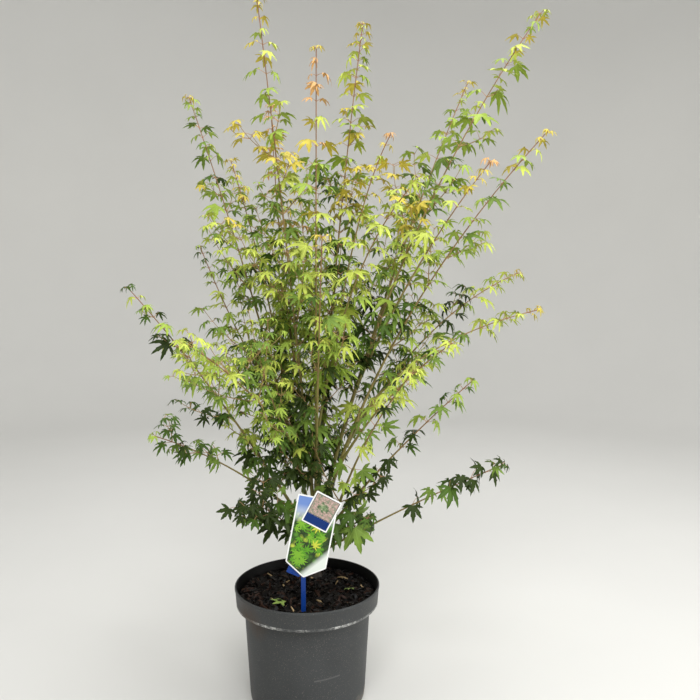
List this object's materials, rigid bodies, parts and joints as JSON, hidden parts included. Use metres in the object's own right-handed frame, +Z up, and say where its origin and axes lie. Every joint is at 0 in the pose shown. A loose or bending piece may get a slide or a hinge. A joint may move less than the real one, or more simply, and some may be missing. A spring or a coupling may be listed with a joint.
{
  "type": "potted japanese maple",
  "caption": "Young many-stemmed japanese maple with small palmate leaves, in a round dark grey nursery pot with a plant label.",
  "frame": {"origin": "centre of the pot's flat underside", "axes": "+Z up along the plant, +X to the right as the picture shows it, +Y away from its camera"},
  "size_m": [0.9271, 0.6496, 1.3626],
  "materials": {
    "pot": "moulded dark grey polypropylene, satin",
    "compost": "moist peat and bark chips",
    "bark": "smooth young bark, satin",
    "foliage": "thin satin leaves on slender twigs",
    "label_blue": "moulded blue plastic",
    "label_card": "printed plastic card, satin"
  },
  "bodies": {
    "root": {"pot": "pot", "compost": "compost", "label_stick": "label_blue", "label_card": "label_card", "label_small_card": "label_card", "trunk": "bark", "bough_tall_left": "bark", "bough_left_twin": "bark", "bough_front_left": "bark", "bough_centre_left": "bark", "bough_front_centre": "bark", "bough_front_arching": "bark", "bough_left_outer": "bark", "bough_left_inner": "bark", "bough_left_behind": "bark", "bough_left_far": "bark", "bough_left_low": "bark", "bough_centre_tall": "bark", "bough_centre_thin": "bark", "bough_back_centre": "bark", "bough_right_tall": "bark", "bough_right_behind": "bark", "bough_right_inner": "bark", "bough_back_right": "bark", "bough_right_far": "bark", "bough_right_reach_back": "bark", "bough_right_reach": "bark", "bough_right_front": "bark", "bough_right_slant": "bark", "bough_front_right": "bark", "bough_right_low": "bark", "foliage_tall_left": "foliage", "foliage_left_twin": "foliage", "foliage_front_left": "foliage", "foliage_centre_left": "foliage", "foliage_front_centre": "foliage", "foliage_front_arching": "foliage", "foliage_left_outer": "foliage", "foliage_left_inner": "foliage", "foliage_left_behind": "foliage", "foliage_left_far": "foliage", "foliage_left_low": "foliage", "foliage_centre_tall": "foliage", "foliage_centre_thin": "foliage", "foliage_back_centre": "foliage", "foliage_right_tall": "foliage", "foliage_right_behind": "foliage", "foliage_right_inner": "foliage", "foliage_back_right": "foliage", "foliage_right_far": "foliage", "foliage_right_reach_back": "foliage", "foliage_right_reach": "foliage", "foliage_right_front": "foliage", "foliage_right_slant": "foliage", "foliage_front_right": "foliage", "foliage_right_low": "foliage", "foliage_left_skirt": "foliage", "foliage_right_skirt": "foliage"}
  },
  "joints": []
}
